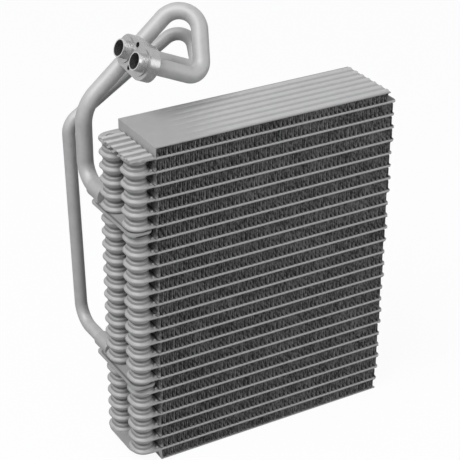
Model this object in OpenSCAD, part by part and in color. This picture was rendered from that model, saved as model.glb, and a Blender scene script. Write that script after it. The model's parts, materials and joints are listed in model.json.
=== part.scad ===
// Laminated plate-and-fin evaporator core with two bent pipes and a two-port block.
// Millimetres. +Z up, origin under the middle of the fin block, air passes along Y.
// Tube rows and fins are counted from the base upwards.

/* [Core] */
// Number of flat tubes, each one brazed pair of stamped plates
tube_rows = 24; // [20:1:26]
// Height from one tube to the next
row_pitch = 10.8; // [9.5:0.1:13]
// Length of the fin block along the tubes
core_w = 200; // [160:1:260]
// Depth of the core in the direction of the air
core_d = 58; // [50:0.5:80]

/* [Tubes] */
// Thickness of a flat tube over both plates
tube_t = 2.8; // [2.2:0.1:3.6]
// Thickness of the seam where the two plates meet
seam_t = 1.7; // [1.2:0.1:2]
// Wall of the flat channels inside a tube
channel_wall = 0.6; // [0.4:0.05:0.9]
// Width of the seam along the front and rear edges of a tube
seam_w = 2; // [1.2:0.1:3.5]
// How far the top tube runs out past the fin block
tube_run_out = 6; // [3:0.1:8]

/* [Tank cups] */
// Distance from the fin block to the outer edge of the tank
tank_reach = 20.7; // [20:0.1:26]
// Length of a cup along the tubes
cup_len = 17.9; // [15:0.1:19]
// Gap between the front and the rear cups
cup_gap = 11; // [6:0.5:16]
// Setback of the cups from the front and rear edges of the core
cup_setback = 0.3; // [0:0.1:2]
// How far the seam stands out round a cup
cup_lip = 0.5; // [0.3:0.1:1.2]
// How far a cup draws in from its seam to its neck
cup_draw = 3.7; // [3:0.1:4.5]
// Wall of a cup
cup_wall = 0.9; // [0.6:0.1:1.2]
// Width of the flat ring where two cups meet
neck_land = 1.4; // [1:0.1:2]

/* [Fins] */
// Length of one full fold of a fin
fold_pitch = 3.77; // [3:0.01:5]
// Thickness of the fin sheet
fin_t = 0.16; // [0.12:0.01:0.3]
// Setback of the fins from the front and rear edges of the core
fin_setback = 0.6; // [0.2:0.1:2]
// How far the fins stand out past the tube ends
fin_run_out = 1; // [0:0.1:2.5]

/* [End plates] */
// Thickness of the end plates
plate_t = 0.8; // [0.6:0.1:1.6]
// Height of the top plate over the middle of the last tube
top_gap = 8.7; // [7:0.1:12]
// Depth of the base plate under the middle of the first tube
base_gap = 9.3; // [7:0.1:12]
// Number of long beads on an end plate
bead_count = 7; // [3:1:9]
// Height of the long beads
bead_h = 0.8; // [0.4:0.1:1.1]
// Width of a long bead at its foot
bead_w = 4.4; // [3:0.1:6]
// Length of the bead's run-up from the flat sheet
bead_run = 26; // [8:1:60]
// Distance from the tank end of the plate to the start of the beads
bead_start = 26; // [5:1:60]
// Number of open ribs on the tongue over the tank, in line with the beads from the front
rib_count = 6; // [3:1:7]
// Height of the open ribs
rib_h = 1.9; // [1:0.1:2.6]
// Width of an open rib at its foot
rib_w = 6.4; // [5:0.1:8]

/* [Connection plates] */
// Tube row under the suction connection plate
suction_row = 18; // [12:1:18]
// Drop of the suction connection plate under the middle of the tube above it
suction_drop = 2.1; // [1.6:0.1:3.6]
// Tube row under the liquid connection plate
liquid_row = 6; // [3:1:9]
// Drop of the liquid connection plate under the middle of the tube above it
liquid_drop = 3.2; // [1.6:0.1:3.6]
// Distance that a connection plate runs out behind the core
plate_run_out = 9.5; // [9:0.5:20]
// Distance that the collars run out behind the core
collar_run_out = 19; // [16:0.5:30]
// Thickness of the edge of a connection plate
edge_t = 1.6; // [1.2:0.1:2]
// How far the neck under that edge is set in
neck_setback = 2.6; // [1.5:0.1:3.5]

/* [Pipes] */
// Outer diameter of the suction pipe
suction_od = 12.7; // [11:0.1:14]
// Outer diameter of the liquid pipe
liquid_od = 10; // [7:0.1:11]
// Wall of both pipes
pipe_wall = 1.2; // [0.8:0.1:1.5]
// Wall of the collars that hold the pipes at the tank
collar_wall = 1.3; // [0.9:0.1:2]
// Depth that a pipe is pushed into a collar
collar_seat = 9; // [5:0.5:12]
// Clearance of a brazed pipe in its seat
braze_gap = 0.05; // [0.02:0.01:0.15]

/* [Port block] */
// Distance between the two ports
port_pitch = 25.5; // [25:0.1:28]
// Outer diameter of the port nozzles
nozzle_od = 13.8; // [13:0.1:15]
// Bore of the port nozzles
nozzle_bore = 12.1; // [10:0.1:12.6]
// Length of the nozzles in front of the block
nozzle_len = 6; // [4:0.5:12]
// Thickness of the block
block_t = 8; // [7:0.5:14]
// Radius of the block round the suction port
block_r_front = 13; // [12:0.1:14]
// Radius of the block round the liquid port
block_r_rear = 11.7; // [11:0.1:12.5]
// Diameter of the two screw holes
screw_d = 4.2; // [3:0.1:5]
// Distance of each screw hole from the line through the ports
screw_offset = 8.9; // [8:0.1:9]
// Depth of the pipe seats in the back of the block
seat_depth = 5; // [3:0.5:5.5]
// Tilt of the ports above the tubes, in degrees
port_tilt = 24; // [20:1:28]

/* [Hidden] */

fine = 64;
over = 1;
end_x = -core_w/2;
front_y = -core_d/2;
half_pitch = row_pitch/2;
seam_half = seam_t/2;

// Cups are racetracks: two half rings and two straight sides
cup_w = (core_d - 2*cup_setback - cup_gap)/2;
cup_r = cup_len/2;
cup_side = cup_w - cup_len;
cup_x = end_x - tank_reach + cup_r;
cup_ys = [front_y + cup_setback + cup_r, cup_gap/2 + cup_r];
shelf_draw = 1.35;
shelf_rise = 1.45;
wall_draw = 0.6;
wall_rise = 1.6;
foot_r = cup_r - cup_lip;
neck_r = foot_r - cup_draw;
port_r = neck_r - neck_land;
tank_edge = end_x - tank_reach + cup_len;

// The tubes end a little unevenly, further out towards the top
tube_start_out = 2.4;
tube_end_spread = 0.6;
channel_h = tube_t - 2*channel_wall;
turn_len = 12;
end_wall = 1.6;
web_w = 2.4;
fin_start_spread = 0.8;
fin_end_spread = 1.2;
outer_fin_setback = 0.4;

bead_slope = 1.1;
top_step = 0.3;
base_step = 3;
tongue_corner = 14.5;
tongue_out = 1;
rib_slope = 1.7;
rib_start = 1.5;
rib_stop = 1.8;

edge_corner = 5;
collar_gap = 0.3;
bend_swell = 0.03;
bend_lap = 0.4;
port_roll = 3;
nozzle_ring = 3;
nozzle_ring_h = 0.7;
suction_bore = suction_od - 2*pipe_wall;
liquid_bore = liquid_od - 2*pipe_wall;

function two_digits(i) = i < 10 ? str("0", i) : str(i);
function tube_name(i) = str("tube_", two_digits(i));
function fin_name(j) = str("fin_", two_digits(j));
function row_z(i) = bead_h + base_gap + (i - 1)*row_pitch;
function tube_end(i) = core_w/2 + tube_start_out
    + (tube_run_out - tube_start_out)*(i - 1)/(tube_rows - 1) + tube_end_spread*sin(i*263);
function unit(v) = v/norm(v);

top_z = row_z(tube_rows) + top_gap;
suction_z = row_z(suction_row + 1) - suction_drop;
liquid_z = row_z(liquid_row + 1) - liquid_drop;

// Pipe routes: corner points and the bend radius at each inner corner
port_a = [-90.2, 21, 312.7];
port_axis = [-cos(port_tilt), 0, sin(port_tilt)];
port_up = [sin(port_tilt)*cos(port_roll), -sin(port_roll), cos(port_tilt)*cos(port_roll)];
port_side = cross(port_axis, port_up);
port_b = port_a + port_side*port_pitch;
block_back = nozzle_len + block_t;
collar_back = core_d/2 + collar_run_out;
seat_y = collar_back - collar_seat;
suction_collar_z = suction_z + 4.5;
liquid_collar_z = liquid_z + 1.6;
suction_leg_y = 64.5;
liquid_leg_y = 83.5;
suction_return = 61;
liquid_return = 71;
suction_points = [
    [cup_x, seat_y, suction_collar_z],
    [cup_x, suction_leg_y, suction_collar_z],
    [cup_x, suction_leg_y, 265.1],
    [-17.8, 59, 349.2],
    port_a - port_axis*suction_return,
    port_a - port_axis*(block_back - seat_depth + braze_gap)
];
suction_radii = [16, 32, 16, 12];
liquid_points = [
    [cup_x, seat_y, liquid_collar_z],
    [cup_x, liquid_leg_y, liquid_collar_z],
    [-116, liquid_leg_y, 245.1],
    [-16.3, 75.3, 313.3],
    port_b - port_axis*liquid_return,
    port_b - port_axis*(block_back - seat_depth + braze_gap)
];
liquid_radii = [16, 16, 13, 9];

// One half of a cup's wall in section, out from the cup's middle, up to a cut height.
// Over the seam a shelf slopes in, then a steep wall rises to the cone round the neck.
module half_wall(cut) {
    shelf = [foot_r - shelf_draw, seam_half + shelf_rise];
    wall = shelf + [-wall_draw, wall_rise];
    inward = [-cup_wall, 0];
    intersection() {
        polygon([[foot_r - cup_wall, 0], [cup_r, 0], [cup_r, seam_half], [foot_r, seam_half],
                 shelf, wall, [neck_r, half_pitch], [port_r, half_pitch],
                 [port_r, half_pitch - cup_wall], [neck_r, half_pitch - cup_wall],
                 wall + inward, shelf + inward, [foot_r - cup_wall, seam_half]]);
        square([cup_r + over, cut]);
    }
}

module cup_section(down, up) {
    if (up > 0) half_wall(up);
    if (down > 0) mirror([0, 1]) half_wall(down);
}

module cup(down, up) {
    for (s = [0, 1])
        translate([0, s*cup_side, 0])
            rotate([0, 0, 180*(1 - s)])
                rotate_extrude(angle = 180, $fn = fine)
                    cup_section(down, up);
    translate([0, cup_side, 0])
        rotate([90, 0, 0])
            linear_extrude(cup_side)
                for (m = [0, 1]) mirror([m, 0]) cup_section(down, up);
}

module racetrack(r) {
    for (s = [0, 1]) translate([0, s*cup_side]) circle(r = r, $fn = fine);
    translate([-r, 0]) square([2*r, cup_side]);
}

// The flat seam from the cups to the tube, with its two cup openings
module seam_web() {
    difference() {
        translate([cup_x, front_y + cup_setback])
            square([tank_edge - cup_x + 1.2, core_d - 2*cup_setback]);
        for (y = cup_ys) translate([cup_x, y]) racetrack(foot_r);
    }
}

module flat_tube(i) {
    w = tube_end(i) - tank_edge;
    translate([tank_edge + 0.4, front_y, -seam_half]) cube([w - 0.4, core_d, seam_t]);
    translate([tank_edge - 0.3, front_y + seam_w, -tube_t/2])
        cube([w + 0.3 - end_wall, core_d - 2*seam_w, tube_t]);
}

module channels(i) {
    side = (core_d - 2*seam_w - web_w)/2 - channel_wall;
    x_in = tank_edge - cup_lip - cup_wall - over;
    x_out = tube_end(i) - end_wall - channel_wall;
    for (y = [front_y + seam_w + channel_wall, web_w/2])
        translate([x_in, y, -channel_h/2]) cube([x_out - x_in, side, channel_h]);
    translate([x_out - turn_len, front_y + seam_w + channel_wall, -channel_h/2])
        cube([turn_len, core_d - 2*seam_w - 2*channel_wall, channel_h]);
}

// The row over a connection plate has its lower cups cut short, and the end rows have no outer cups
function cup_down(i) = i == 1 ? 0 : i == suction_row + 1 ? suction_drop
    : i == liquid_row + 1 ? liquid_drop : half_pitch;
function cup_up(i) = i == tube_rows ? 0 : half_pitch;

module tube(i) {
    down = cup_down(i);
    up = cup_up(i);
    color([0.74, 0.75, 0.76]) translate([0, 0, row_z(i)]) difference() {
        union() {
            for (y = cup_ys) translate([cup_x, y, 0]) cup(down, up);
            translate([0, 0, -min(seam_half, down)])
                linear_extrude(min(seam_half, down) + min(seam_half, up)) seam_web();
            difference() {
                flat_tube(i);
                if (up == 0) translate([tank_edge - over, front_y - over, 0])
                    cube([end_x - tank_edge + over, core_d + 2*over, tube_t]);
                if (down == 0) translate([tank_edge - over, front_y - over, -tube_t])
                    cube([end_x - tank_edge + over, core_d + 2*over, tube_t]);
            }
        }
        channels(i);
    }
}

// A fin is one sheet folded to and fro between two tubes
function fin_low(j) = j == 1 ? bead_h + plate_t : row_z(j - 1) + tube_t/2;
function fin_high(j) = j == tube_rows + 1 ? top_z - plate_t : row_z(j) - tube_t/2;
function fin_start(j) = j == 1 || j == tube_rows + 1 ? end_x + plate_t : end_x + fin_start_spread*sin(j*73);
function fin_end(j) = j == 1 || j == tube_rows + 1 ? core_w/2 - outer_fin_setback
    : tube_end(j) + fin_run_out + fin_end_spread*sin(j*131);
function fold_count(j) = floor(2*(fin_end(j) - fin_start(j))/fold_pitch);

// Each fold has a flat outside, where it is brazed to the tube, and a sharp corner inside
module fin(j) {
    h = fin_high(j) - fin_low(j);
    half_fold = fold_pitch/2;
    flat = fin_t;
    leg = norm([half_fold - flat/2, h - fin_t]);
    nook = (fin_t*leg - flat*h/2)/(half_fold - flat);
    n = fold_count(j);
    function x(k) = k*half_fold;
    upper = [for (k = [0:n]) each k % 2 == 0
        ? [[x(k) - (k == 0 ? 0 : flat/2), h], [x(k) + (k == n ? 0 : flat/2), h]] : [[x(k), nook]]];
    lower = [for (k = [n:-1:0]) each k % 2 == 1
        ? [[x(k) + (k == n ? 0 : flat/2), 0], [x(k) - flat/2, 0]] : [[x(k), h - nook]]];
    color([0.3, 0.31, 0.32])
        translate([fin_start(j), core_d/2 - fin_setback, fin_low(j)])
            rotate([90, 0, 0])
                linear_extrude(core_d - 2*fin_setback)
                    polygon(concat(upper, lower));
}

// A pressed bead: a flat-topped ridge that rises slowly at its tank end
module bead(length, w, h, slope, run) {
    intersection() {
        rotate([90, 0, 90]) linear_extrude(length)
            polygon([[-w/2, -over], [-w/2, 0], [-w/2 + slope, h], [w/2 - slope, h], [w/2, 0], [w/2, -over]]);
        translate([0, w/2, 0]) rotate([90, 0, 0]) linear_extrude(w)
            polygon([[0, -over], [0, 0], [run, h], [length, h], [length, -over]]);
    }
}

module beads(gap, down) {
    spacing = core_d/bead_count;
    for (n = [0:bead_count - 1])
        translate([end_x + bead_start, front_y + (n + 0.5)*spacing, gap - down])
            bead(core_w - bead_start, bead_w, bead_h, bead_slope, bead_run);
}

// The open ribs on the tongue run from its free edge to the step
module ribs(down, first, last) {
    spacing = core_d/bead_count;
    root = -plate_t/2 - down;
    for (n = [0:rib_count - 1])
        translate([first, front_y + (n + 0.5)*spacing, plate_t - down])
            rotate([90, 0, 90]) linear_extrude(last - first)
                polygon([[-rib_w/2, root], [-rib_w/2, 0], [-rib_w/2 + rib_slope, rib_h],
                         [rib_w/2 - rib_slope, rib_h], [rib_w/2, 0], [rib_w/2, root]]);
}

module tongue_outline() {
    x = end_x - tank_reach - tongue_out;
    r = tongue_corner;
    intersection() {
        union() {
            for (s = [-1, 1])
                translate([x + r, s*(core_d/2 - r)]) circle(r = r, $fn = fine);
            translate([x, -core_d/2 + r]) square([r, core_d - 2*r]);
            translate([x + r, -core_d/2]) square([r, core_d]);
        }
        translate([x, -core_d/2]) square([end_x - x, core_d]);
    }
}

// An end plate over the middle of its tube: tongue on the tank, step, beaded flat on the fins
module end_plate(gap, step) {
    difference() {
        union() {
            linear_extrude(plate_t) tongue_outline();
            translate([0, core_d/2, 0]) rotate([90, 0, 0]) linear_extrude(core_d)
                polygon([[end_x - step, 0], [end_x - step, plate_t],
                         [end_x - plate_t/2, gap], [core_w/2, gap], [core_w/2, gap - plate_t],
                         [end_x + plate_t/2, gap - plate_t], [end_x, tube_t/2], [end_x, 0]]);
            beads(gap, 0);
            if ($children > 0) children(0);
        }
        beads(gap, plate_t);
        if ($children > 1) children(1);
    }
}

module top_plate() {
    tongue_x = end_x - tank_reach - tongue_out;
    color([0.72, 0.73, 0.74]) translate([0, 0, row_z(tube_rows)]) end_plate(top_gap, top_step) {
        ribs(0, tongue_x + rib_start, end_x - rib_stop);
        ribs(plate_t, tongue_x - over, end_x - rib_stop - plate_t);
    }
}

module base_plate()
    color([0.72, 0.73, 0.74]) translate([0, 0, row_z(1)]) mirror([0, 0, 1])
        end_plate(base_gap, base_step);

module edge_outline(x0, x1, y0, y1) {
    r = edge_corner;
    for (x = [x0 + r, x1 - r], y = [y0 + r, y1 - r]) translate([x, y]) circle(r = r, $fn = fine);
    translate([x0 + r, y0]) square([x1 - x0 - 2*r, y1 - y0]);
    translate([x0, y0 + r]) square([x1 - x0, y1 - y0 - 2*r]);
}

// A connection plate lies between two rows of cups and holds the collar of one pipe
module connection_plate(z, row, collar_z, pipe_od, bore) {
    low = row_z(row) + half_pitch;
    x0 = end_x - tank_reach - tongue_out + 0.3;
    x1 = tank_edge;
    y1 = core_d/2 + plate_run_out;
    collar_r = pipe_od/2 + collar_wall;
    collar_y = core_d/2 - cup_setback + collar_gap;
    duct_h = (z - low)/2;
    duct_z = low + duct_h/2;
    difference() {
        union() {
            translate([0, 0, z - edge_t])
                linear_extrude(edge_t) edge_outline(x0, x1, front_y + cup_setback, y1);
            translate([x0 + neck_setback, front_y + neck_setback, low])
                cube([x1 - x0 - 2*neck_setback, y1 - front_y - 2*neck_setback, z - low - edge_t/2]);
            translate([cup_x - collar_r, collar_y, z - edge_t/2])
                cube([2*collar_r, y1 - neck_setback - collar_y, collar_z - z + edge_t/2]);
            translate([cup_x, collar_y, collar_z]) rotate([-90, 0, 0])
                cylinder(h = collar_back - collar_y, r = collar_r, $fn = fine);
        }
        translate([cup_x, seat_y, collar_z]) rotate([-90, 0, 0])
            cylinder(h = collar_seat + over, r = pipe_od/2 + braze_gap, $fn = fine);
        translate([cup_x, collar_y + collar_wall, collar_z]) rotate([-90, 0, 0])
            cylinder(h = seat_y - collar_y, r = bore/2, $fn = fine);
        translate([cup_x - bore/3, collar_y + collar_wall, duct_z])
            cube([2*bore/3, bore/3, collar_z - duct_z]);
        translate([cup_x - port_r, cup_ys[1], duct_z])
            cube([2*port_r, collar_y + collar_wall + bore/3 - cup_ys[1], duct_h]);
        translate([cup_x, cup_ys[0], low - over]) linear_extrude(z - low + 2*over) racetrack(port_r);
        translate([cup_x, cup_ys[1], low - over]) linear_extrude(duct_h + over) racetrack(port_r);
    }
}

module suction_connection_plate()
    color([0.7, 0.71, 0.72])
        connection_plate(suction_z, suction_row, suction_collar_z, suction_od, suction_bore);

module liquid_connection_plate()
    color([0.7, 0.71, 0.72])
        connection_plate(liquid_z, liquid_row, liquid_collar_z, liquid_od, liquid_bore);

// Pipes: hollow straights and bends; a bend is a hair fuller and laps the straights it joins
module straight(p, q, od, bore) {
    d = q - p;
    l = norm(d);
    translate(p) rotate([0, acos(d[2]/l), atan2(d[1], d[0])]) difference() {
        cylinder(h = l, d = od, $fn = fine);
        translate([0, 0, -over]) cylinder(h = l + 2*over, d = bore, $fn = fine);
    }
}

module bend(corner, u, v, r, od, bore) {
    turn = acos(u*v);
    lap = bend_lap/r*180/PI;
    centre = corner + unit(v - u)*r/cos(turn/2);
    x = unit(corner - u*r*tan(turn/2) - centre);
    z = unit(cross(u, v));
    multmatrix([[x[0], u[0], z[0], centre[0]],
                [x[1], u[1], z[1], centre[1]],
                [x[2], u[2], z[2], centre[2]],
                [0, 0, 0, 1]])
        rotate([0, 0, -lap])
            rotate_extrude(angle = turn + 2*lap, $fn = 96)
                translate([r, 0]) difference() {
                    circle(d = od + 2*bend_swell, $fn = fine);
                    circle(d = bore - 2*bend_swell, $fn = fine);
                }
}

module bent_pipe(points, radii, od, bore) {
    last = len(points) - 1;
    dirs = [for (i = [0:last - 1]) unit(points[i + 1] - points[i])];
    cut = [0, for (i = [1:last - 1]) radii[i - 1]*tan(acos(dirs[i - 1]*dirs[i])/2), 0];
    for (i = [0:last - 1])
        straight(points[i] + dirs[i]*cut[i], points[i + 1] - dirs[i]*cut[i + 1], od, bore);
    for (i = [1:last - 1])
        bend(points[i], dirs[i - 1], dirs[i], radii[i - 1], od, bore);
}

module suction_pipe()
    color([0.76, 0.77, 0.78])
        bent_pipe(suction_points, suction_radii, suction_od, suction_bore);

module liquid_pipe()
    color([0.76, 0.77, 0.78])
        bent_pipe(liquid_points, liquid_radii, liquid_od, liquid_bore);

// Port block: a pear-shaped plate with two nozzles, seen along its own port axis.
// Local Z points out of the ports, local Y runs from the suction port to the liquid port.
module pear() {
    lean = asin((block_r_front - block_r_rear)/port_pitch);
    function touch(r, y, s) = [s*r*cos(lean), y + r*sin(lean)];
    circle(r = block_r_front, $fn = fine);
    translate([0, port_pitch]) circle(r = block_r_rear, $fn = fine);
    polygon([touch(block_r_front, 0, 1), touch(block_r_rear, port_pitch, 1),
             touch(block_r_rear, port_pitch, -1), touch(block_r_front, 0, -1)]);
}

module port_passage(pipe_od, bore) {
    translate([0, 0, -nozzle_len - 1.5]) cylinder(h = nozzle_len + 1.5 + over, d = nozzle_bore, $fn = fine);
    translate([0, 0, -block_back]) cylinder(h = block_back - over, d = bore, $fn = fine);
    translate([0, 0, -block_back - over])
        cylinder(h = seat_depth + over, d = pipe_od + 2*braze_gap, $fn = fine);
}

module port_block() {
    x = cross(port_side, port_axis);
    color([0.68, 0.69, 0.7])
        multmatrix([[x[0], port_side[0], port_axis[0], port_a[0]],
                    [x[1], port_side[1], port_axis[1], port_a[1]],
                    [x[2], port_side[2], port_axis[2], port_a[2]],
                    [0, 0, 0, 1]])
            difference() {
                union() {
                    translate([0, 0, -block_back]) linear_extrude(block_t) pear();
                    for (y = [0, port_pitch]) translate([0, y, 0]) {
                        translate([0, 0, -nozzle_len - over])
                            cylinder(h = nozzle_len + over, d = nozzle_od, $fn = fine);
                        translate([0, 0, -nozzle_len - over])
                            cylinder(h = nozzle_ring_h + over, r = nozzle_od/2 + nozzle_ring, $fn = fine);
                    }
                }
                port_passage(suction_od, suction_bore);
                translate([0, port_pitch, 0]) port_passage(liquid_od, liquid_bore);
                for (s = [-1, 1]) translate([s*screw_offset, port_pitch/2, -block_back - over])
                    cylinder(h = block_t + 2*over, d = screw_d, $fn = fine);
            }
}

for (i = [1:tube_rows]) tube(i);
for (j = [1:tube_rows + 1]) fin(j);
base_plate();
top_plate();
suction_connection_plate();
liquid_connection_plate();
suction_pipe();
liquid_pipe();
port_block();
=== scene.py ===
# %% [markdown]
# # An evaporator from a car's air conditioning
# This lesson dresses a finished CAD model. Refrigerant boils inside 24 flat tubes, air passes between
# the folded fins, and two bent pipes carry the refrigerant in and out through one port block. The CAD
# pieces stay where they are: here they get their finishes, and the pieces that need more life than a
# plain solid has are made again, such as the folded fins.

# %% Load the frame
import json
import math

import bmesh
import bpy
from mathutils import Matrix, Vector


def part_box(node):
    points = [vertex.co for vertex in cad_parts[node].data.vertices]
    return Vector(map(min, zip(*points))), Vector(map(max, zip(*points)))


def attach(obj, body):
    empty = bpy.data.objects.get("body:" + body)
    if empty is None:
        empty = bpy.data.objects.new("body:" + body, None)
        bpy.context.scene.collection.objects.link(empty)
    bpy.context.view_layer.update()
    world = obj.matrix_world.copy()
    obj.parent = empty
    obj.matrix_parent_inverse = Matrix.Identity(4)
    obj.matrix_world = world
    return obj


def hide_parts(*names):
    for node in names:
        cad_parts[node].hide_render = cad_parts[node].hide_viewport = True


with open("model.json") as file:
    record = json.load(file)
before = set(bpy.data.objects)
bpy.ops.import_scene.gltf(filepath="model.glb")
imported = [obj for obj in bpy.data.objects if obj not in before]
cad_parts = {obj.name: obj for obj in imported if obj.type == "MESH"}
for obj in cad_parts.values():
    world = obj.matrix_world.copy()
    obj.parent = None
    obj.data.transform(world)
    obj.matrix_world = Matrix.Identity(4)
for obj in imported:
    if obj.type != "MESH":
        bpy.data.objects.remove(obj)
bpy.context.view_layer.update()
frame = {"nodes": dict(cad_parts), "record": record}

MM = 0.001
scene = bpy.context.scene

# %% [markdown]
# ## The camera
# A photograph is matched by one thing only: the point it was taken from. The turn of the camera and
# its lens then follow. Here the camera stands in front of the core, to its left and above it, and the
# long lens keeps the rows of the core almost parallel.

# %% Camera
CAMERA_PLACE = (-564.0, -927.3, 739.9)
CAMERA_TURN = (61.974, -0.189, -30.161)
CAMERA_LENS = 124.86

camera_data = bpy.data.cameras.new("camera")
camera_data.lens = CAMERA_LENS
camera = bpy.data.objects.new("camera", camera_data)
camera.location = Vector(CAMERA_PLACE) * MM
camera.rotation_euler = [math.radians(angle) for angle in CAMERA_TURN]
scene.collection.objects.link(camera)
scene.camera = camera
print("camera in mm", CAMERA_PLACE, "lens", CAMERA_LENS)

# %% [markdown]
# ## Node trees as Python
# A shader graph is easier to read as arithmetic than as a list of nodes and links. The Value class
# wraps one output socket, and each operator on it adds one Math node. Every other node comes from
# Tree.add, which sets the node's settings first and then its inputs, each a number or a link.

# %% Value and Tree
class Value:
    """One output socket of a node tree, which takes part in Python arithmetic."""

    def __init__(self, tree, socket):
        self.tree = tree
        self.socket = socket

    def math(self, operation, *others):
        inputs = dict(enumerate((self, *others)))
        return self.tree.add("ShaderNodeMath", {"operation": operation}, inputs)

    def __add__(self, other):
        return self.math("ADD", other)

    __radd__ = __add__

    def __mul__(self, other):
        return self.math("MULTIPLY", other)

    __rmul__ = __mul__

    def __sub__(self, other):
        return self.math("SUBTRACT", other)

    def __rsub__(self, other):
        return self * -1 + other

    def __truediv__(self, other):
        return self.math("DIVIDE", other)

    def between(self, low, high):
        """0 at low and 1 at high, with a smooth rise between them."""
        inputs = {"Value": self, "From Min": low, "From Max": high}
        return self.tree.add("ShaderNodeMapRange", {"interpolation_type": "SMOOTHSTEP"}, inputs)

    def out(self, name):
        """Another output of the same node."""
        return Value(self.tree, self.socket.node.outputs[name])


class Tree:
    """A node tree that is being built."""

    def __init__(self, node_tree):
        self.nodes = node_tree.nodes
        self.links = node_tree.links

    def add(self, kind, settings=None, inputs=None):
        """Adds one node and gives its first output."""
        node = self.nodes.new(kind)
        for name, value in (settings or {}).items():
            setattr(node, name, value)
        for name, value in (inputs or {}).items():
            self.plug(node.inputs[name], value)
        return Value(self, node.outputs[0]) if node.outputs else node

    def plug(self, socket, value):
        """Links a Value to a socket, or writes a plain value on it."""
        if isinstance(value, Value):
            self.links.new(value.socket, socket)
        else:
            socket.default_value = value

    def mix(self, factor, a, b):
        """Blends two colours, each written as a colour or taken from a node."""
        node = self.nodes.new("ShaderNodeMix")
        node.data_type = "RGBA"
        self.plug(node.inputs[0], factor)
        self.plug(node.inputs[6], a)
        self.plug(node.inputs[7], b)
        return Value(self, node.outputs[2])

    def place(self):
        """The point on the surface in metres, in the frame of the whole part."""
        return self.add("ShaderNodeTexCoord").out("Object")

    def noise(self, vector, scale, detail=2.0, rough=0.5):
        """A noise from 0 to 1, with a scale in cycles for each metre."""
        inputs = {"Vector": vector, "Scale": scale, "Detail": detail, "Roughness": rough}
        return self.add("ShaderNodeTexNoise", {}, inputs)


def grey(level):
    """A neutral grey with a trace of blue, as aluminium has."""
    return (level, level, level * 1.008, 1.0)


# %% [markdown]
# ## Places and sizes
# The frame knows where each CAD node lies. A tube's seam lies midway between the fin under it and the fin
# over it, so the rows need no second list of heights. The other sizes are those of the stamped plates: the
# flat tube, its seam, and the reach of the tank from its outer end to the start of the core.

# %% Rows of the core
ROWS = sum(name.startswith("tube_") for name in frame["nodes"])
TUBE_T = 1.9 * MM
SEAM_T = 1.6 * MM
SHEET_T = 0.9 * MM


def low(node):
    """The lowest corner of a CAD node's box."""
    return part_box(node)[0]


def high(node):
    """The highest corner of a CAD node's box."""
    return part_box(node)[1]


def seam_height(row):
    """The height of the seam round a flat tube."""
    return (high(f"fin_{row:02d}")[2] + low(f"fin_{row + 1:02d}")[2]) / 2


ROW_PITCH = (seam_height(ROWS) - seam_height(1)) / (ROWS - 1)
CORE_FRONT = low("tube_02")[1]
CORE_REAR = high("tube_02")[1]
TANK_REACH = 20.7 * MM
CORE_START = low("tube_02")[0] + TANK_REACH
print("rows", ROWS, "pitch in mm", round(ROW_PITCH / MM, 2))

# %% [markdown]
# ## Bare aluminium
# Brazed aluminium is not a mirror. The flux and the furnace leave it dull, with cloudy patches some
# millimetres wide and a fine grain. One function makes the shader from a few numbers, so that sheet,
# drawn tube and machined block are the same metal with another surface.

# %% Aluminium shader
GRAIN_SCALE = 2600.0
DARKEST, BRIGHTEST, SHADED = 0.55, 1.45, 0.12
METAL_RELIEF = 0.4 * MM


def aluminium(name, level, roughness, cloud=0.12, cloud_size=9.0, grain=0.05, bump=0.15, metallic=0.2,
              shade=None, lift=None):
    """Dull metal. A shade gives how dark each point is, from 0 to 1, and a lift adds to its tone."""
    material = bpy.data.materials.new(name)
    material.use_nodes = True
    tree = Tree(material.node_tree)
    tree.nodes.clear()
    point = tree.place()
    cloudy = tree.noise(point, 1000 / cloud_size, 4.0, 0.6)
    fine = tree.noise(point, GRAIN_SCALE, 2.0, 0.6)
    tone = (cloudy - 0.5) * (2 * cloud) + (fine - 0.5) * (2 * grain) + 0.5
    if lift:
        tone = tone + lift(tree, point)
    colour = tree.mix(tone, grey(level * DARKEST), grey(level * BRIGHTEST))
    if shade:
        colour = tree.mix(shade(tree, point), colour, grey(level * SHADED))
    rough = (cloudy - 0.5) * 0.25 + (fine - 0.5) * 0.1 + roughness
    height = fine * 0.5 + cloudy
    relief = {"Height": height, "Strength": bump, "Distance": METAL_RELIEF}
    normal = tree.add("ShaderNodeBump", {}, relief)
    surface = {"Base Color": colour, "Roughness": rough, "Metallic": metallic, "Normal": normal}
    shader = tree.add("ShaderNodeBsdfPrincipled", {}, surface)
    tree.add("ShaderNodeOutputMaterial", {}, {"Surface": shader})
    return material


SHEET = aluminium("brazed_sheet", 0.42, 0.5)

# %% [markdown]
# The end plates are pressed with open ribs over the tank and with long low beads over the fins. Their
# crests get a painted highlight and the grooves between them a painted shade. A fraction of the depth
# gives the place across one rib, and that number lifts or lowers the tone.

# %% End plates
BEAD_COUNT = 7
BEAD_SPACING = (CORE_REAR - CORE_FRONT) / BEAD_COUNT
BEAD_FADE = (26 * MM, 80 * MM)
TONGUE_END = (-2.6 * MM, -1.6 * MM)
# Painted highlight on the crests and painted shade in the grooves, for the ribs and for the beads
RIB_EDGE, RIB_PAINTED_HIGHLIGHT, RIB_PAINTED_SHADE = (0.14, 0.26), 1.0, 0.45
BEAD_EDGE, BEAD_PAINTED_HIGHLIGHT, BEAD_PAINTED_SHADE = (0.2, 0.36), 0.34, 0.14


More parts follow.
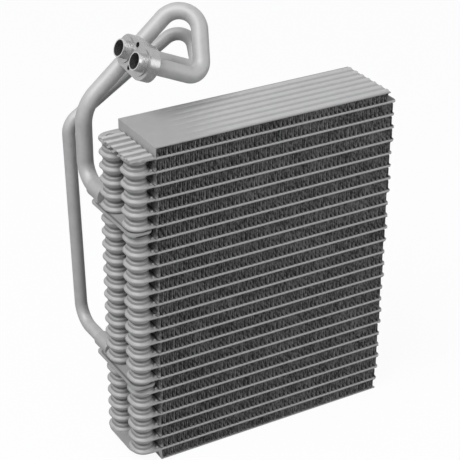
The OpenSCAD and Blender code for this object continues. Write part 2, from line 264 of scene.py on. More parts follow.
def plate_painted_light_and_shade(tree, point):
    """Painted highlight on the crests and painted shade in the grooves on the upper face of the top plate.
    """
    parts = tree.add("ShaderNodeSeparateXYZ", {}, {"Vector": point})
    along = parts.out("X") - CORE_START
    across = (((parts.out("Y") - CORE_FRONT) / BEAD_SPACING).math("FRACT") - 0.5).math("ABSOLUTE")
    rib = (1 - across.between(*RIB_EDGE)) * RIB_PAINTED_HIGHLIGHT - RIB_PAINTED_SHADE
    bead = (1 - across.between(*BEAD_EDGE)) * BEAD_PAINTED_HIGHLIGHT - BEAD_PAINTED_SHADE
    over_tank = 1 - along.between(*TONGUE_END)
    over_fins = along.between(*BEAD_FADE)
    on_top = parts.out("Z").between(seam_height(ROWS), seam_height(ROWS) + ROW_PITCH / 4)
    return (over_tank * rib + over_fins * bead) * on_top


PLATE = aluminium("end_sheet", 0.44, 0.5, lift=plate_painted_light_and_shade)

# %% [markdown]
# A connection plate lies between two cups. Its upper sheet has a raised rim, with a groove along its
# inner side and a slot under it, and little light reaches either. The rim itself stays bright, so three
# thin lines follow the outline. They are found from how far a point lies inside an outline with round
# corners, and how far it lies under the sheet's top.

# %% Connection plates
SUCTION_ROW, SUCTION_DROP = 19, 2.1 * MM
LIQUID_ROW, LIQUID_DROP = 7, 3.2 * MM
PLATE_TOPS = (seam_height(SUCTION_ROW) - SUCTION_DROP, seam_height(LIQUID_ROW) - LIQUID_DROP)
PLATE_OUTLINE = (("X", low("tube_02")[0] - 0.7 * MM, CORE_START - 1.1 * MM),
                 ("Y", CORE_FRONT + 0.3 * MM, CORE_REAR + 9.5 * MM))
PLATE_CORNER = 9 * MM
RIM_T = 1.5 * MM
RIM_W = 1.2 * MM
GROOVE_W, GROOVE_DARK = 1.7 * MM, 0.62
SLOT_DEPTH, SLOT_DARK = (4 * MM, 5 * MM), 0.75
SLOT_FOOT = (5.4 * MM, 4.4 * MM)


def inside_outline(tree, point):
    """How far a point lies inside the outline of the connection plates."""
    parts = tree.add("ShaderNodeSeparateXYZ", {}, {"Vector": point})
    squares = []
    for axis, first, last in PLATE_OUTLINE:
        from_middle = (parts.out(axis) - (first + last) / 2).math("ABSOLUTE")
        past = (from_middle - ((last - first) / 2 - PLATE_CORNER)).math("MAXIMUM", 0.0)
        squares.append(past * past)
    return PLATE_CORNER - (squares[0] + squares[1]).math("SQRT")


def under_rims(height):
    """1 just under the rim of a connection plate, from a height in the core."""
    total = None
    for top in PLATE_TOPS:
        under = height.between(top - SLOT_FOOT[0], top - SLOT_FOOT[1])
        under = under * (1 - height.between(top - RIM_T - 0.2 * MM, top - RIM_T))
        total = under if total is None else total + under
    return total


def rim_shade(tree, point):
    """Dark in the groove along the rim and in the slot under it."""
    inside = inside_outline(tree, point)
    height = tree.add("ShaderNodeSeparateXYZ", {}, {"Vector": point}).out("Z")
    groove_end = RIM_W + GROOVE_W
    groove = inside.between(RIM_W - 0.3 * MM, RIM_W + 0.3 * MM)
    groove = groove * (1 - inside.between(groove_end - 0.5 * MM, groove_end + 0.5 * MM)) * GROOVE_DARK
    slot = inside.between(RIM_W, RIM_W + 0.4 * MM) * (1 - inside.between(*SLOT_DEPTH)) * SLOT_DARK
    total = slot * under_rims(height)
    for top in PLATE_TOPS:
        on_top = height.between(top - 0.4 * MM, top - 0.2 * MM)
        on_top = on_top * (1 - height.between(top + 0.2 * MM, top + 0.4 * MM))
        total = total + groove * on_top
    return total


CONNECTION = aluminium("connection_sheet", 0.44, 0.5, shade=rim_shade)
print("tops of the connection plates in mm", [round(top / MM, 1) for top in PLATE_TOPS])

# %% [markdown]
# A port is dark inside, because hardly any light finds its way in. The shade is worked out from the
# distance to the port's axis, which is vector arithmetic on the point of the surface. These sizes are in
# millimetres, as on a drawing, and are scaled where they meet the point. The two screw holes lie one on
# each side of the line between the nozzles, and are shaded a little less.

# %% Pipes and block
PORT_A = (-90.2, 21, 312.7)
PORT_TILT = 24
PORT_ROLL = 3
PORT_PITCH = 25.5
PORT_BORE_R = 6.05
PORT_DEPTH = 12
NOZZLE_LEN = 6
NOZZLE_R = 7
SCREW_R = 2.1
SCREW_OFFSET = 8.9
SCREW_DARK = 0.75
HOLE_EDGE = 0.1
# Strength of the painted sheen on the nozzles, which stands in for their highlights
NOZZLE_PAINTED_SHEEN = 0.45


def port_axis():
    """The direction in which both ports point, away from the core."""
    tilt = math.radians(PORT_TILT)
    return Vector((-math.cos(tilt), 0, math.sin(tilt)))


def port_centres():
    """The middles of the mouths of the two ports, in millimetres."""
    tilt, roll = math.radians(PORT_TILT), math.radians(PORT_ROLL)
    up = Vector((math.sin(tilt) * math.cos(roll), -math.sin(roll), math.cos(tilt) * math.cos(roll)))
    side = port_axis().cross(up)
    first = Vector(PORT_A)
    return [first, first + side * PORT_PITCH]


def vector_maths(tree, operation, a, b):
    """One Vector Math node on two vectors."""
    return tree.add("ShaderNodeVectorMath", {"operation": operation}, {0: a, 1: b})


def from_port_line(tree, point, centre):
    """How far a point lies along and off the line through a centre in the ports' direction."""
    offset = vector_maths(tree, "SUBTRACT", point, centre * MM)
    along = vector_maths(tree, "DOT_PRODUCT", offset, port_axis()).out("Value")
    across = vector_maths(tree, "CROSS_PRODUCT", offset, port_axis())
    return along, vector_maths(tree, "LENGTH", across, (0, 0, 0)).out("Value")


def hole_shade(tree, point, centre, radius, top):
    """Dark within a radius of the line through a centre along the ports, and below a height on it."""
    along, distance = from_port_line(tree, point, centre)
    inside = 1 - distance.between((radius - HOLE_EDGE) * MM, (radius + HOLE_EDGE) * MM)
    deep = along.between(-(PORT_DEPTH + 4) * MM, -PORT_DEPTH * MM)
    return inside * deep * (1 - along.between((top - 0.6) * MM, top * MM))


def port_shade(tree, point):
    """Dark inside the two ports and the two screw holes between them."""
    first, second = port_centres()
    screw_line = port_axis().cross(second - first).normalized()
    shades = [hole_shade(tree, point, centre, PORT_BORE_R, 0.5) for centre in (first, second)]
    for side in (-1, 1):
        centre = (first + second) / 2 + screw_line * SCREW_OFFSET * side
        shades.append(hole_shade(tree, point, centre, SCREW_R + 2 * HOLE_EDGE, -NOZZLE_LEN) * SCREW_DARK)
    total = shades[0]
    for shade in shades[1:]:
        total = total.math("MAXIMUM", shade)
    return total


def nozzle_painted_sheen(tree, point):
    """A painted sheen, standing in for their highlights, makes the turned nozzles brighter than the face
    they stand on.
    """
    total = None
    for centre in port_centres():
        along, distance = from_port_line(tree, point, centre)
        near = 1 - distance.between(NOZZLE_R * MM, (NOZZLE_R + 0.6) * MM)
        near = near * along.between(-(NOZZLE_LEN - 0.6) * MM, -(NOZZLE_LEN - 1) * MM)
        total = near if total is None else total.math("MAXIMUM", near)
    return total * NOZZLE_PAINTED_SHEEN


PIPE = aluminium("drawn_tube", 0.5, 0.54, cloud=0.2, bump=0.12, shade=port_shade)
BLOCK = aluminium("machined_block", 0.42, 0.28, cloud=0.16, cloud_size=3.0, metallic=0.8,
                  shade=port_shade, lift=nozzle_painted_sheen)

# %% [markdown]
# ## Finish the CAD pieces
# Each CAD node carries a slot name in the record. The slot says which finish the node gets. The fins and
# the tubes are made again further on, and get finishes of their own there.

# %% Finishes for the CAD nodes
FINISH = {
    "tube": SHEET,
    "fin": SHEET,
    "end_plate": PLATE,
    "connection_plate": CONNECTION,
    "pipe": PIPE,
    "port_block": BLOCK,
}


def dress(node, material):
    """Gives a CAD node one material."""
    piece = frame["nodes"][node]
    piece.data.materials.clear()
    piece.data.materials.append(material)


for subpart in frame["record"]["subparts"]:
    dress(subpart["node"], FINISH[subpart["material_slot"]])

# %% [markdown]
# ## Folded fins
# A fin is one thin strip, folded to and fro between two tubes like a ribbon. A machine folds it, but the
# furnace and every careless finger bend it a little. Modelling hundreds of folds by hand would be slow
# and too even. A Geometry Nodes tree places the corners of a square wave by their index, rounds them
# with Fillet Curve, sweeps the strip's depth along them, and a noise pushes the sheet out of line.

# %% The fin's tree
LEAN_SEED = 7
WAVE_SCALE, WAVE_STEP = 55.0, 3.1
FIN_INPUTS = {
    "Half Folds": ("NodeSocketInt", 100),
    "Half Fold": ("NodeSocketFloat", 1.885 * MM),
    "Start": ("NodeSocketFloat", 0.0),
    "Low": ("NodeSocketFloat", 0.0),
    "High": ("NodeSocketFloat", 8 * MM),
    "Rear": ("NodeSocketFloat", 28 * MM),
    "Depth": ("NodeSocketFloat", 56 * MM),
    "Crest": ("NodeSocketFloat", 0.85 * MM),
    "Jitter": ("NodeSocketFloat", 0.16 * MM),
    "Lean": ("NodeSocketFloat", 0.12 * MM),
    "Wave": ("NodeSocketFloat", 0.5 * MM),
    "Seed": ("NodeSocketInt", 1),
    "Material": ("NodeSocketMaterial", None),
}


def new_group(name, sizes):
    """A geometry node group with named inputs, their identifiers, and a Value for each input."""
    group = bpy.data.node_groups.new(name, "GeometryNodeTree")
    identifiers = {}
    for label, (kind, default) in sizes.items():
        socket = group.interface.new_socket(label, in_out="INPUT", socket_type=kind)
        if default is not None:
            socket.default_value = default
        identifiers[label] = socket.identifier
    group.interface.new_socket("Geometry", in_out="OUTPUT", socket_type="NodeSocketGeometry")
    tree = Tree(group)
    source = tree.nodes.new("NodeGroupInput")
    given = {label: Value(tree, source.outputs[label]) for label in sizes}
    return group, tree, identifiers, given


def finish_group(tree, geometry, material):
    """Ends a tree: real geometry instead of instances, smooth, with its material."""
    geometry = tree.add("GeometryNodeRealizeInstances", {}, {"Geometry": geometry})
    geometry = tree.add("GeometryNodeSetShadeSmooth", {}, {"Geometry": geometry})
    geometry = tree.add("GeometryNodeSetMaterial", {}, {"Geometry": geometry, "Material": material})
    tree.plug(tree.nodes.new("NodeGroupOutput").inputs[0], geometry)


def random_spread(tree, number, seed):
    """A random number from -1 to 1 for each whole number."""
    node = tree.add("FunctionNodeRandomValue", {"data_type": "FLOAT"}, {"ID": number, "Seed": seed})
    node = node.socket.node
    node.inputs[2].default_value = -1.0
    node.inputs[3].default_value = 1.0
    return Value(tree, node.outputs[1])


def make_fin_group():
    """The tree of a folded strip: two corners for each leg, at its foot and at its head."""
    group, tree, identifiers, size = new_group("folded_fin", FIN_INPUTS)
    index = tree.add("GeometryNodeInputIndex")
    leg = ((index + 1) / 2).math("FLOOR")
    at_top = (index / 2).math("FLOOR").math("MODULO", 2)
    x = size["Start"] + (leg - 1) * size["Half Fold"]
    x = x + random_spread(tree, leg, size["Seed"]) * size["Jitter"]
    x = x + random_spread(tree, index, size["Seed"] + LEAN_SEED) * size["Lean"]
    z = size["Low"] + at_top * (size["High"] - size["Low"])
    corner = tree.add("ShaderNodeCombineXYZ", {}, {"X": x, "Y": size["Rear"], "Z": z})
    line = tree.add("GeometryNodeMeshLine", {}, {"Count": size["Half Folds"] * 2})
    line = tree.add("GeometryNodeSetPosition", {}, {"Geometry": line, "Position": corner})
    open_below = 1 - leg.math("MODULO", 2)
    line = tree.add("GeometryNodeStoreNamedAttribute", {"data_type": "FLOAT", "domain": "POINT"},
                    {"Geometry": line, "Name": "open_below", "Value": open_below})
    path = tree.add("GeometryNodeMeshToCurve", {}, {"Mesh": line})
    round_it = {"Curve": path, "Count": 2, "Radius": size["Crest"], "Limit Radius": True}
    path = tree.add("GeometryNodeFilletCurve", {"mode": "POLY"}, round_it)
    far = tree.add("ShaderNodeCombineXYZ", {}, {"X": size["Depth"]})
    strip = tree.add("GeometryNodeCurvePrimitiveLine", {}, {"End": far})
    strip = tree.add("GeometryNodeResampleCurve", {}, {"Curve": strip, "Count": 5})
    sheet = tree.add("GeometryNodeCurveToMesh", {}, {"Curve": path, "Profile Curve": strip})
    place = tree.add("GeometryNodeInputPosition")
    wave = {"W": size["Seed"] * WAVE_STEP, "Vector": place, "Scale": WAVE_SCALE, "Detail": 1.0}
    wave = tree.add("ShaderNodeTexNoise", {"noise_dimensions": "4D"}, wave)
    push = tree.add("ShaderNodeCombineXYZ", {}, {"X": (wave - 0.5) * size["Wave"]})
    sheet = tree.add("GeometryNodeSetPosition", {}, {"Geometry": sheet, "Offset": push})
    finish_group(tree, sheet, size["Material"])
    return group, identifiers


FIN_GROUP, FIN_IDS = make_fin_group()
print("nodes in the fin's tree", len(FIN_GROUP.nodes))

# %% [markdown]
# A tree is only a recipe. It runs as a modifier on an empty mesh, each input is set by its identifier
# before the first look at the result, and the result is kept as a plain mesh. The object that carried
# the modifier then goes.

# %% Applying a tree
def from_group(name, group, identifiers, values):
    """Runs a tree on an empty mesh and gives its result as a plain object."""
    start = bpy.data.objects.new(name + "_start", bpy.data.meshes.new(name + "_start"))
    scene.collection.objects.link(start)
    modifier = start.modifiers.new("nodes", "NODES")
    modifier.node_group = group
    for label, value in values.items():
        modifier[identifiers[label]] = value
    graph = bpy.context.evaluated_depsgraph_get()
    mesh = bpy.data.meshes.new_from_object(start.evaluated_get(graph))
    bpy.data.objects.remove(start)
    piece = bpy.data.objects.new(name, mesh)
    scene.collection.objects.link(piece)
    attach(piece, "root")
    return piece


# %% [markdown]
# The louvres cut in the fins are finer than the picture can show. They come out as a restless grain that
# runs up and down, so the finish stretches a noise along the height. Each second fold is open towards
# the tube under it and gets a painted shade at its foot, which gives the row of dots along the top of
# every tube, while the feet of the other folds get a painted light. The tree stored which folds those are
# as an attribute, and the shader reads it. One patch low down at the far end was crushed by a knock, and a
# coarser noise tears the tone up there.

# %% The fin's finish
FIN_DARK = 0.035
FIN_PALE = 0.33
STREAK = (900.0, 350.0, 350.0)
STREAK_EDGE = (0.37, 0.64)
FOOT_EDGE, FOOT_PAINTED_LIGHT = (0.2, 0.36), 0.35
CRUSHED = Vector((84, -29, 52)) * MM
CRUSHED_EDGE = (4 * MM, 10 * MM)
FIN_RELIEF = 0.6 * MM


def over_seam(tree, point):
    """How far a point is over the last seam under it, as a share of the pitch."""
    height = tree.add("ShaderNodeSeparateXYZ", {}, {"Vector": point}).out("Z")
    return ((height - seam_height(1)) / ROW_PITCH).math("FRACT")


def fin_finish():
    """The coated sheet of the fins, with a painted shade where a fold is open at its foot and a painted
    light at the feet of the other folds.
    """
    material = bpy.data.materials.new("coated_fin")
    material.use_nodes = True
    tree = Tree(material.node_tree)
    tree.nodes.clear()
    point = tree.place()
    streak = vector_maths(tree, "MULTIPLY", point, STREAK)
    grain = tree.noise(streak, 1.0, 3.0, 0.75)
    patches = tree.noise(point, 45.0, 3.0, 0.6)
    tone = grain.between(*STREAK_EDGE) * 0.95 + (patches - 0.5) * 0.7
    distance = vector_maths(tree, "DISTANCE", point, CRUSHED).out("Value")
    torn = tree.noise(point, 420.0, 2.0, 0.6).between(0.42, 0.6) * 1.6 - 0.4
    tone = tone + (1 - distance.between(*CRUSHED_EDGE)) * (torn - tone)
    attribute = tree.add("ShaderNodeAttribute", {"attribute_name": "open_below"}).out("Fac")
    height = over_seam(tree, point)
    at_foot = 1 - height.between(*FOOT_EDGE)
    dark_fold = attribute.between(0.3, 0.7)
    # Painted shade in the folds open at the foot, painted light at the feet of the other folds
    tone = tone * (1 - dark_fold * at_foot) + (1 - dark_fold) * at_foot * FOOT_PAINTED_LIGHT
    colour = tree.mix(tone, grey(FIN_DARK), grey(FIN_PALE))
    normal = tree.add("ShaderNodeBump", {}, {"Height": grain, "Strength": 0.5, "Distance": FIN_RELIEF})
    surface = {"Base Color": colour, "Roughness": 0.55, "Metallic": 0.2, "Normal": normal}
    shader = tree.add("ShaderNodeBsdfPrincipled", {}, surface)
    tree.add("ShaderNodeOutputMaterial", {}, {"Surface": shader})
    return material


FIN = fin_finish()
print("nodes in the fins' finish", len(FIN.node_tree.nodes))

# %% [markdown]
# A fin fills the space between two tubes, less the thickness of the flat parts, and stops short of the
# shorter tube's end. The number of folds is a whole number, so the fold's width gives way a little. The
# sheet gets its thickness from a Solidify modifier, which stays live.

# %% The fins
FOLD_PITCH = 3.77 * MM
FIN_T = 0.12 * MM
FIN_SETBACK = 0.15 * MM
FIN_LATER = 0.9 * MM
FIN_SHORTER = 0.8 * MM


def fin_end(number):
    """The fin ends a little inside the shorter of its two tubes, or flush with its end plate."""
    if number == 1 or number > ROWS:
        return high("base_plate" if number == 1 else "top_plate")[0] - 2 * FIN_T
    return min(high(f"tube_{number - 1:02d}")[0], high(f"tube_{number:02d}")[0]) - FIN_SHORTER


def make_fin(number):
    """One folded fin, which stands for its CAD node."""
    node = f"fin_{number:02d}"
    box_low, box_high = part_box(node)
    start = box_low[0] + FIN_LATER
    half_folds = round((fin_end(number) - start) / (FOLD_PITCH / 2)) + 1
    bottom = box_low[2] if number == 1 else seam_height(number - 1) + TUBE_T / 2
    top = box_high[2] if number > ROWS else seam_height(number) - TUBE_T / 2
    values = {
        "Half Folds": half_folds,
        "Half Fold": (fin_end(number) - start) / (half_folds - 1),
        "Start": start,
        "Low": bottom + FIN_T / 2,
        "High": top - FIN_T / 2,
        "Rear": CORE_REAR - FIN_SETBACK,
        "Depth": CORE_REAR - CORE_FRONT - 2 * FIN_SETBACK,
        "Seed": number,
        "Material": FIN,
    }
    piece = from_group(f"fin_sheet_{number:02d}", FIN_GROUP, FIN_IDS, values)
    wall = piece.modifiers.new("wall", "SOLIDIFY")
    wall.thickness = FIN_T
    wall.offset = 0.0
    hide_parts(node)
    return piece


fins = [make_fin(number) for number in range(1, ROWS + 2)]
print("fins", len(fins), "vertices of the first", len(fins[0].data.vertices))

# %% [markdown]
# ## Flat tubes and tank cups
# Two stamped plates are brazed face to face and make one tube with two cups at its end. The soft,
# rounded section of the cups gives the tank its look of stacked rings, so each tube is swept again here
# from two sections: the cup's wall round a racetrack, and the tube's rounded edge along the core.

# %% A closed loop swept along places
def sweep(loops):
    """The points and side faces of a skin through equal closed loops, open at both ends."""
    count = len(loops[0])
    points = [point for loop in loops for point in loop]
    faces = []
    for k in range(len(loops) - 1):
        for i in range(count):
            j = (i + 1) % count
            faces.append((k * count + i, k * count + j, (k + 1) * count + j, (k + 1) * count + i))
    return points, faces, count


def ring(loops):
    """A skin through equal loops that closes on itself, such as a wall round a racetrack."""
    points, faces, count = sweep(loops)
    last = (len(loops) - 1) * count
    for i in range(count):
        j = (i + 1) % count
        faces.append((last + i, last + j, j, i))
    return points, faces


def capped(loops):
    """A skin through equal loops with a face over its first and its last loop."""
    points, faces, count = sweep(loops)
    last = (len(loops) - 1) * count
    faces.append(tuple(reversed(range(count))))
    faces.append(tuple(range(last, last + count)))
    return points, faces


def mesh_piece(name, skins, material, sharp=40.0):
    """Joins skins in one mesh with its faces outwards and smooth up to a sharp angle."""
    points, faces = [], []
    for some_points, some_faces in skins:
        start = len(points)
        points += some_points
        faces += [tuple(start + i for i in face) for face in some_faces]
    mesh = bpy.data.meshes.new(name)
    mesh.from_pydata(points, [], faces)
    form = bmesh.new()
    form.from_mesh(mesh)
    bmesh.ops.recalc_face_normals(form, faces=form.faces)
    form.to_mesh(mesh)
    form.free()
    mesh.shade_smooth()
    mesh.set_sharp_from_angle(angle=math.radians(sharp))
    mesh.materials.append(material)
    piece = bpy.data.objects.new(name, mesh)
    scene.collection.objects.link(piece)
    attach(piece, "root")
    return piece


# %% [markdown]
# The tank's rings are told apart by thin dark lines and not by their form alone. These lines are painted
# shade: a share of the pitch over the seam says where on its ring a point lies, and bands of that share
# are darkened, on the seam flange's edge, on the steep upper wall and on the underside below the neck, and
# under the rim of a connection plate. Between the folds the tube's upper face sees no light and gets a
# painted shade too.

# %% The tubes' finish
CUP_LEN = 19.6 * MM
TANK_EDGE = low("tube_02")[0] + CUP_LEN
FLANGE_EDGE_PAINTED_SHADE, UPPER_WALL_PAINTED_SHADE, LOWER_WALL_PAINTED_SHADE = 0.2, 0.42, 0.6
UNDER_RIM_PAINTED_SHADE, INNER_PAINTED_SHADE = 0.7, 0.85


def band(share, first, last, soft=0.035):
    """1 between two shares of the pitch, with soft ends."""
    return share.between(first - soft, first + soft) * (1 - share.between(last - soft, last + soft))


def tube_painted_shade(tree, point):
    """Painted shade on the walls, necks and seam edges of the cups, under the connection plates' rims, and
    between the folds of the fins.
    """
    share = over_seam(tree, point)
    parts = tree.add("ShaderNodeSeparateXYZ", {}, {"Vector": point})
    # Painted shade in bands of the pitch, where the cups' walls, necks and seam edges would be in shade
    rim = (1 - band(share, 0.06, 0.94, 0.02)) * FLANGE_EDGE_PAINTED_SHADE
    cups = rim + band(share, 0.2, 0.39) * UPPER_WALL_PAINTED_SHADE + band(share, 0.56, 0.72) * LOWER_WALL_PAINTED_SHADE
    cups = cups.math("MAXIMUM", under_rims(parts.out("Z")) * UNDER_RIM_PAINTED_SHADE)
    cups = cups * (1 - parts.out("X").between(TANK_EDGE, TANK_EDGE + 2 * MM))
    depth = ((parts.out("Y") - (CORE_FRONT + CORE_REAR) / 2) * -1).math("ABSOLUTE")
    half = (CORE_REAR - CORE_FRONT) / 2
    inner = (1 - depth.between(half - 1.5 * MM, half - 0.7 * MM)) * INNER_PAINTED_SHADE
    inner = inner * parts.out("X").between(TANK_EDGE - 1.2 * MM, TANK_EDGE + 0.8 * MM)
    return cups.math("MAXIMUM", inner)


TANK = aluminium("stamped_tube", 0.46, 0.52, cloud=0.16, cloud_size=5.0, metallic=0.1, shade=tube_painted_shade)
print("nodes in the tubes' finish", len(TANK.node_tree.nodes))

# %% [markdown]
# A cup is drawn from the sheet in a press. Its wall leaves the seam over a low shoulder, turns up in one
# steep step, leans in over a second shoulder and ends in a flat land, where it is brazed to the next cup.
# That profile is written once, as shares of the draw and of the rise, and carried round a racetrack. The
# neck inside is left open, so that the tank is hollow as the real one is.

# %% The cup's wall
CUP_GAP = 11 * MM
CUP_SETBACK = 0.3 * MM
CUP_LIP = 0.5 * MM
CUP_DRAW = 3.7 * MM
NECK_LAND = 1.4 * MM
NECK_LEAN = 3 * MM
CUP_STEPS = 20
CUP_X = low("tube_02")[0] + CUP_LEN / 2
CUP_W = (CORE_REAR - CORE_FRONT - 2 * CUP_SETBACK - CUP_GAP) / 2

# How far the wall has drawn in, and how far it has risen from the seam to the neck, as shares
WALL_FORM = [(0, 0), (0.05, 0.08), (0.18, 0.16), (0.36, 0.23), (0.43, 0.3), (0.455, 0.42), (0.465, 0.56),
             (0.49, 0.7), (0.56, 0.78), (0.78, 0.9), (1, 1)]


def cup_wall(reach):
    """One half of the wall as pairs of radius and height over the seam, cut at a reach."""
    foot = CUP_LEN / 2 - CUP_LIP
    seam = SEAM_T / 2
    rise = ROW_PITCH / 2 - seam
    wall = [(CUP_LEN / 2, 0.6 * seam), (CUP_LEN / 2 - 0.4 * CUP_LIP, seam)]
    wall += [(foot - CUP_DRAW * draw, seam + rise * up) for draw, up in WALL_FORM]
    wall.append((foot - CUP_DRAW - NECK_LAND, ROW_PITCH / 2))
    return [(r, min(z, reach)) for r, z in wall]


def cup_section(down, up):
    """The closed section of a cup's wall, outside and inside."""
    upper = cup_wall(up)
    lower = [(r, -z) for r, z in cup_wall(down)]
    inner = CUP_LEN / 2 - CUP_LIP - CUP_DRAW - NECK_LAND
    inside = [(inner, up - SHEET_T), (inner + NECK_LEAN, 0), (inner, SHEET_T - down)]
    return list(reversed(lower)) + upper + inside


def racetrack_frames(front, rear):
    """Points of the path's two half rings as centre and outward direction."""
    frames = []
    for centre, start in ((rear - CUP_LEN / 2, 0), (front + CUP_LEN / 2, math.pi)):
        for k in range(CUP_STEPS + 1):
            angle = start + math.pi * k / CUP_STEPS
            frames.append((centre, (math.cos(angle), math.sin(angle))))
    return frames


def cup(height, front, rear, down, up):
    """A cup's wall swept round the racetrack between two depths."""
    section = cup_section(down, up)
    loops = []
    for centre, (dx, dy) in racetrack_frames(front, rear):
        loops.append([(CUP_X + r * dx, centre + r * dy, height + z) for r, z in section])
    return ring(loops)


# %% [markdown]
# The flat tube is a slab with a rolled edge, which catches the light as one thin line from end to end.
# Its far end is flattened to the thickness of the seam and rounded at the corners. Stations along the
# tube give the width and the thickness, and the skin runs through them.

# %% The flat tube
EDGE_FORM = [(0, 0), (0, 0.5), (0.3, 0.84), (0.7, 0.88), (1.0, 1.0)]
EDGE_W = 0.8 * MM
END_W = 1.8 * MM
END_ROUND = 3 * MM
END_TURNS = (20, 45, 70, 90)
ROOT_T = SEAM_T / 2 * 0.94
ROOT_IN = 0.3 * MM
ROOT_RISE = 1.3 * MM
FLAT_START = 2 * MM
TUBE_STATIONS = 26


def tube_section(half_w, half_t, middle):
    """A rounded slab across the core, as pairs of depth and height."""
    quarter = [(half_w - EDGE_W * inwards, half_t * up) for inwards, up in EDGE_FORM]
    upper = quarter + [(-y, z) for y, z in reversed(quarter)]
    lower = [(y, -z) for y, z in reversed(upper)][1:-1]
    return [(middle + y, z) for y, z in upper + lower]


def flat_tube(row, height):
    """The flat part of a tube, from inside the tank to its rounded far end."""
    end = high(f"tube_{row:02d}")[0]
    half_w = (CORE_REAR - CORE_FRONT) / 2
    middle = (CORE_REAR + CORE_FRONT) / 2
    stations = [(CUP_X, ROOT_T, ROOT_IN), (TANK_EDGE, ROOT_T, ROOT_IN)]
    stations.append((TANK_EDGE + ROOT_RISE, TUBE_T / 2, 0.0))
    first = TANK_EDGE + FLAT_START
    for k in range(TUBE_STATIONS + 1):
        stations.append((first + (end - END_W - first) * k / TUBE_STATIONS, TUBE_T / 2, 0.0))
    for turn in END_TURNS:
        angle = math.radians(turn)
        x = end - END_W + END_W * math.sin(angle)
        stations.append((x, SEAM_T / 2, END_ROUND * (1 - math.cos(angle))))
    loops = []
    for x, half_t, narrower in stations:
        section = tube_section(half_w - narrower, half_t, middle)
        loops.append([(x, y, height + z) for y, z in section])
    return capped(loops)


# %% [markdown]
# Each tube is one mesh of three skins: the flat part and two cups. It reaches as far down and up as its
# CAD node does, so a tube under a connection plate gets a shorter cup without being told.

# %% Tubes with their cups
def make_tube(row):
    """One flat tube with its two cups, which stands for its CAD node."""
    node = f"tube_{row:02d}"
    height = seam_height(row)
    down = height - low(node)[2]
    up = high(node)[2] - height
    front_cup = (CORE_FRONT + CUP_SETBACK, CORE_FRONT + CUP_SETBACK + CUP_W)
    rear_cup = (CORE_REAR - CUP_SETBACK - CUP_W, CORE_REAR - CUP_SETBACK)
    skins = [flat_tube(row, height)]
    for front, rear in (front_cup, rear_cup):
        skins.append(cup(height, front, rear, down, up))
    piece = mesh_piece(f"plate_pair_{row:02d}", skins, TANK)
    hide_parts(node)
    return piece


tubes = [make_tube(row) for row in range(1, ROWS + 1)]
print("tubes", len(tubes), "vertices of the first", len(tubes[0].data.vertices))

# %% [markdown]
# ## Dimples
# A small dimple stands on every flat tube just before its first fold, at the front and at the rear. One
# dome is enough: the tree repeats it up a line of points, one for each row. Half of each dome lies in
# the tube that carries it.

# %% The dimples' tree
DIMPLE_INPUTS = {
    "Rows": ("NodeSocketInt", 24),
    "Pitch": ("NodeSocketFloat", 10.8 * MM),
    "First": ("NodeSocketVector", (0.0, 0.0, 0.0)),
    "Radius": ("NodeSocketFloat", 1.2 * MM),
    "Material": ("NodeSocketMaterial", None),
}


def make_dimple_group():
    """The tree of a line of domes, one for each row."""
    group, tree, identifiers, size = new_group("dimple_line", DIMPLE_INPUTS)
    step = tree.add("ShaderNodeCombineXYZ", {}, {"Z": size["Pitch"]})
    line = {"Count": size["Rows"], "Start Location": size["First"], "Offset": step}
    line = tree.add("GeometryNodeMeshLine", {}, line)
    dome = {"Segments": 12, "Rings": 8, "Radius": size["Radius"]}
    dome = tree.add("GeometryNodeMeshUVSphere", {}, dome)
    domes = tree.add("GeometryNodeInstanceOnPoints", {}, {"Points": line, "Instance": dome})
    finish_group(tree, domes, size["Material"])
    return group, identifiers


DIMPLE_GROUP, DIMPLE_IDS = make_dimple_group()
print("nodes in the dimples' tree", len(DIMPLE_GROUP.nodes))

# %% The dimples
DIMPLE_X = -102.6 * MM
DIMPLE_IN = 3.4 * MM
DIMPLE_R = 1.15 * MM

for side, depth in (("front", CORE_FRONT + DIMPLE_IN), ("rear", CORE_REAR - DIMPLE_IN)):
    values = {
        "Rows": ROWS - 1,
        "Pitch": ROW_PITCH,
        "First": (DIMPLE_X, depth, seam_height(1) + TUBE_T / 2),
        "Radius": DIMPLE_R,
        "Material": PLATE,
    }
    dimples = from_group(f"tube_dimples_{side}", DIMPLE_GROUP, DIMPLE_IDS, values)
    print("dimples", side, len(dimples.data.polygons))

# %% [markdown]
# ## Floor and light
# The part stands on a pale floor in front of nothing. A white floor would need more light than the metal
# can bear, so the floor is a mid grey for the lamps and glows white for the camera alone, mixed by Light
# Path. A tenth of the grey stays in the mix, and with it the soft shadow under the part.

# %% Floor
FLOOR_SIZE = 6.0
FLOOR_GLOW, FLOOR_SEEN = 1.05, 0.9


def make_floor():
    """A large pale floor, which is no part of the object."""
    mesh = bpy.data.meshes.new("floor")
    half = FLOOR_SIZE / 2
    corners = [(-half, -half, 0), (half, -half, 0), (half, half, 0), (-half, half, 0)]
    mesh.from_pydata(corners, [], [(0, 1, 2, 3)])
    material = bpy.data.materials.new("floor")
    material.use_nodes = True
    tree = Tree(material.node_tree)
    tree.nodes.clear()
    point = tree.place()
    cloudy = tree.noise(point, 3.0)
    colour = tree.mix(cloudy, grey(0.5), grey(0.52))
    matt = tree.add("ShaderNodeBsdfDiffuse", {}, {"Color": colour})
    white = tree.add("ShaderNodeEmission", {}, {"Color": grey(1.0), "Strength": FLOOR_GLOW})
    seen = tree.add("ShaderNodeLightPath").out("Is Camera Ray") * FLOOR_SEEN
    surface = tree.add("ShaderNodeMixShader", {}, {0: seen, 1: matt, 2: white})
    tree.add("ShaderNodeOutputMaterial", {}, {"Surface": surface})
    mesh.materials.append(material)
    floor = bpy.data.objects.new("floor", mesh)
    scene.collection.objects.link(floor)


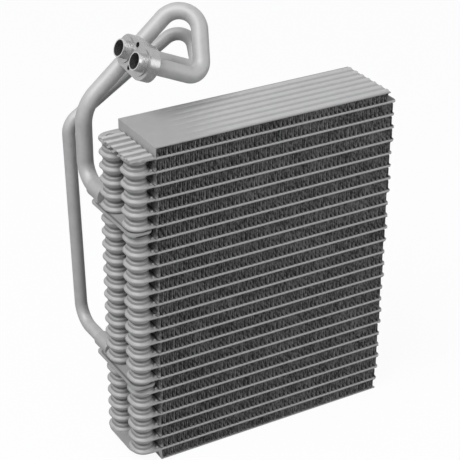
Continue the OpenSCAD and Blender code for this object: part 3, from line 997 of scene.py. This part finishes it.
make_floor()
print("floor side in metres", FLOOR_SIZE)

# %% [markdown]
# The world is white for the camera and for reflections, so that bare metal mirrors a bright room, and a
# softer grey as a lamp. Light Path tells the two kinds of ray apart.

# %% World
WORLD_LIGHT = 0.3


def make_world():
    """A white room that lights the part more weakly than it looks."""
    world = bpy.data.worlds.new("studio")
    world.use_nodes = True
    tree = Tree(world.node_tree)
    tree.nodes.clear()
    path = tree.add("ShaderNodeLightPath")
    seen = path.out("Is Camera Ray").math("MAXIMUM", path.out("Is Glossy Ray"))
    seen = seen.math("MAXIMUM", path.out("Is Transmission Ray"))
    strength = seen * (1 - WORLD_LIGHT) + WORLD_LIGHT
    back = tree.add("ShaderNodeBackground", {}, {"Color": grey(1.0), "Strength": strength})
    tree.add("ShaderNodeOutputWorld", {}, {"Surface": back})
    scene.world = world


make_world()
print("world light", WORLD_LIGHT)

# %% [markdown]
# One large lamp above the camera's left shoulder draws the highlights along the pipes. A weaker one fills
# the tube ends on the right. Both are large, because a small lamp leaves hard spots on dull metal.

# %% Lamps
def lamp(name, place, aim, size, power):
    """A round area lamp that looks at a point."""
    data = bpy.data.lights.new(name, "AREA")
    data.shape = "DISK"
    data.size = size
    data.energy = power
    light = bpy.data.objects.new(name, data)
    light.location = place
    light.rotation_euler = (Vector(aim) - Vector(place)).to_track_quat("-Z", "Y").to_euler()
    scene.collection.objects.link(light)
    print("lamp", name, power, "W")


MIDDLE = (0.0, 0.0, 0.15)
KEY_PLACE, KEY_SIZE, KEY_POWER = (-1.25, -0.4, 2.05), 1.7, 39.0
FILL_PLACE, FILL_SIZE, FILL_POWER = (1.2, -1.2, 0.5), 1.2, 5.0
lamp("key", KEY_PLACE, MIDDLE, KEY_SIZE, KEY_POWER)
lamp("fill", FILL_PLACE, MIDDLE, FILL_SIZE, FILL_POWER)

# %% [markdown]
# ## Close the frame
# The plain view transform keeps each grey as it was written.

# %% View transform
scene.view_settings.view_transform = "Standard"
